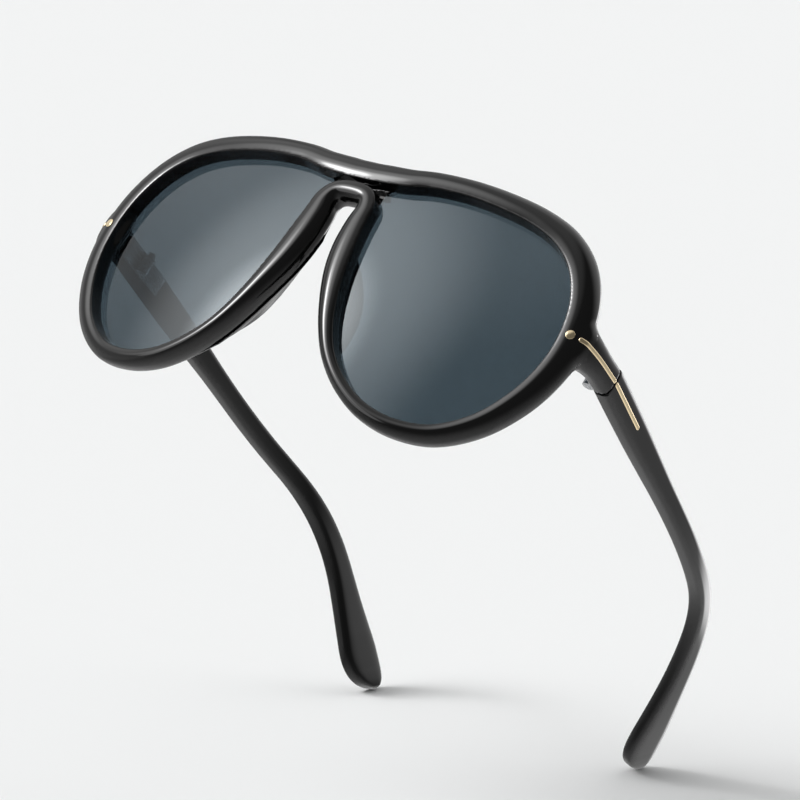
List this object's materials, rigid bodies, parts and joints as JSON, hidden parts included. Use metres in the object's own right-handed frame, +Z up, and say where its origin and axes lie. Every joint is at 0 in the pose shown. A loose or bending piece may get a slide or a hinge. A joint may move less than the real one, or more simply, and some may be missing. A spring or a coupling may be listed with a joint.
{
  "type": "sunglasses",
  "caption": "Oversized pilot sunglasses with a keyhole bridge, tinted lenses, folding temples on barrel hinges and metal trim strips.",
  "frame": {"origin": "middle of the footprint of the open glasses, on the table they stand on", "axes": "+X to the wearer's left, +Y back along the temples from the front, +Z up"},
  "size_m": [0.1506, 0.1618, 0.0696],
  "materials": {
    "acetate_black": "polished black acetate",
    "lens_smoke": "polished, blue-grey tint",
    "trim_gold": "polished, pale gold",
    "hinge_metal": "satin nickel"
  },
  "bodies": {
    "front": {"front_frame": "acetate_black", "lens_left": "lens_smoke", "lens_right": "lens_smoke", "nose_pad_left": "acetate_black", "nose_pad_right": "acetate_black", "rivet_left": "trim_gold", "rivet_right": "trim_gold", "endpiece_strip_left": "trim_gold", "endpiece_strip_right": "trim_gold", "front_hinge_left": "hinge_metal", "front_hinge_right": "hinge_metal", "hinge_screw_left": "hinge_metal", "hinge_screw_right": "hinge_metal"},
    "left_arm": {"temple_left": "acetate_black", "temple_hinge_left": "hinge_metal", "temple_strip_left": "trim_gold", "core_wire_left": "hinge_metal"},
    "right_arm": {"temple_right": "acetate_black", "temple_hinge_right": "hinge_metal", "temple_strip_right": "trim_gold", "core_wire_right": "hinge_metal"}
  },
  "joints": [
    {"name": "left_fold", "type": "hinge", "parent": "front", "child": "left_arm", "pos_m": [0.0686, -0.05097, 0.0391], "axis": [0, 0, 1], "range_deg": [0, 84]},
    {"name": "right_fold", "type": "hinge", "parent": "front", "child": "right_arm", "pos_m": [-0.0686, -0.05097, 0.0391], "axis": [0, 0, -1], "range_deg": [0, 78]}
  ]
}
